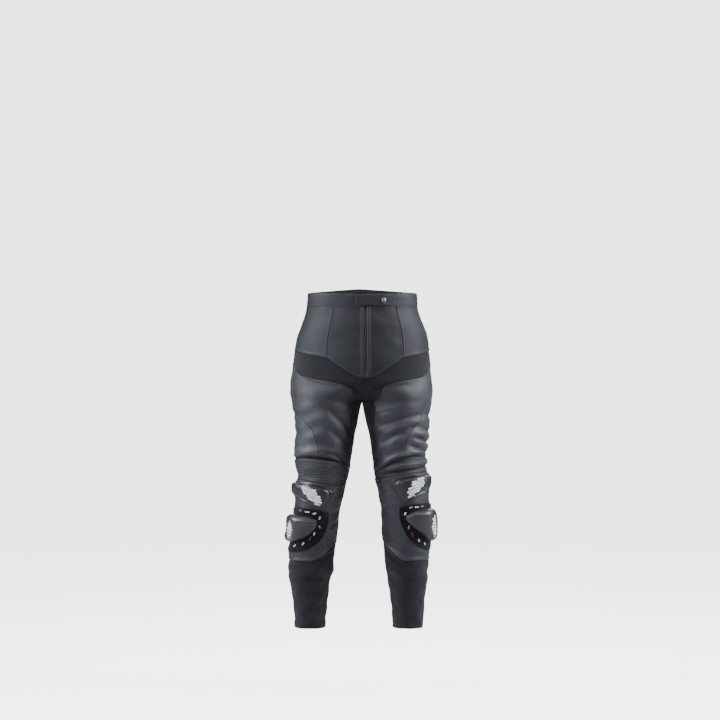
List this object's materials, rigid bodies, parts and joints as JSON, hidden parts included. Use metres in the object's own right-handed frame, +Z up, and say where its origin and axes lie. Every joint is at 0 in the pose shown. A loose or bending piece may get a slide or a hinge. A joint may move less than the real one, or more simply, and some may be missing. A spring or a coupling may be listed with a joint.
{
  "type": "leather motorcycle pants",
  "caption": "Worn leather motorcycle race pants: hollow trunk and two tapered legs, stretch groin and calves, ribbed stretch panels above padded knees with hard sliders.",
  "frame": {"origin": "the middle of the waist seam, where the wearer's waist holds the pants", "axes": "+Z up, the front faces -Y, the wearer's left leg is at +X"},
  "size_m": [0.4314, 0.2657, 0.9513],
  "materials": {
    "leather": "soft semi-matte cowhide",
    "ribbed_leather": "ribbed stretch leather",
    "cup": "moulded leather, a little glossier",
    "stretch": "matte stretch textile",
    "loop": "fuzzy loop fastener",
    "tape": "woven zip tape",
    "slider": "satin hard plastic",
    "snap": "dark satin metal"
  },
  "bodies": {
    "root": {"waistband": "leather", "waist_tab": "leather", "snap": "snap", "zip": "tape", "front_left": "leather", "hip_left": "leather", "seat_left": "leather", "groin_left": "stretch", "inner_thigh_left": "stretch", "thigh_left": "leather", "side_left": "leather", "back_thigh_left": "leather", "accordion_left": "ribbed_leather", "shin_left": "leather", "calf_left": "stretch", "ankle_left": "stretch", "knee_cup_left": "cup", "loop_patch_left": "loop", "slider_left": "slider", "front_right": "leather", "hip_right": "leather", "seat_right": "leather", "groin_right": "stretch", "inner_thigh_right": "stretch", "thigh_right": "leather", "side_right": "leather", "back_thigh_right": "leather", "accordion_right": "ribbed_leather", "shin_right": "leather", "calf_right": "stretch", "ankle_right": "stretch", "knee_cup_right": "cup", "loop_patch_right": "loop", "slider_right": "slider"}
  },
  "joints": []
}
